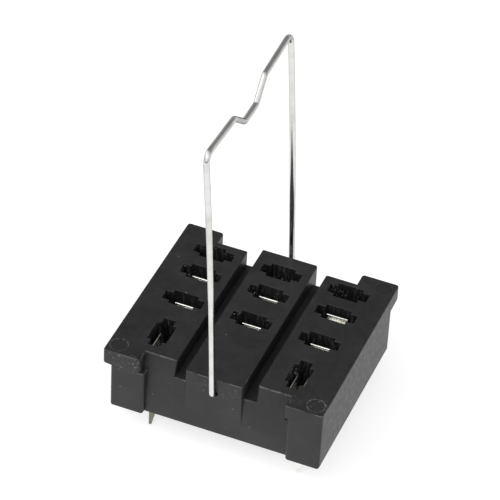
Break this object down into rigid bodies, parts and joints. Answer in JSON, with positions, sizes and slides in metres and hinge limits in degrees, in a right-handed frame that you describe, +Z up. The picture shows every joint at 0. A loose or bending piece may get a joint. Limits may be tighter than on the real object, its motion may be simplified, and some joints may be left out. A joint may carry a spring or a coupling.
{
  "type": "relay socket",
  "caption": "Printed-board relay socket: a black moulded base with cross-shaped blade chambers, tinned contacts with solder tails, and a hinged wire retaining bail.",
  "frame": {"origin": "on the seating plane of the underside, midway across the top flange from side to side and from front to back", "axes": "+Z up from the printed board to the top face, +X to the right along the front, +Y from the front to the back"},
  "size_m": [0.038, 0.0354, 0.0612],
  "materials": {
    "black_plastic": "satin moulded",
    "tinned_strip": "tinned",
    "spring_wire": "bright drawn"
  },
  "bodies": {
    "socket": {"body": "black_plastic", "contact_nc_left": "tinned_strip", "contact_nc_middle": "tinned_strip", "contact_nc_right": "tinned_strip", "contact_no_left": "tinned_strip", "contact_no_middle": "tinned_strip", "contact_no_right": "tinned_strip", "contact_com_left": "tinned_strip", "contact_com_middle": "tinned_strip", "contact_com_right": "tinned_strip", "contact_coil_left": "tinned_strip", "contact_coil_right": "tinned_strip"},
    "bail": {"retaining_bail": "spring_wire"}
  },
  "joints": [
    {"name": "bail_pivot", "type": "hinge", "parent": "socket", "child": "bail", "pos_m": [0, 0, 0.0083], "axis": [0, 1, 0], "range_deg": [-69, 75.5]}
  ]
}
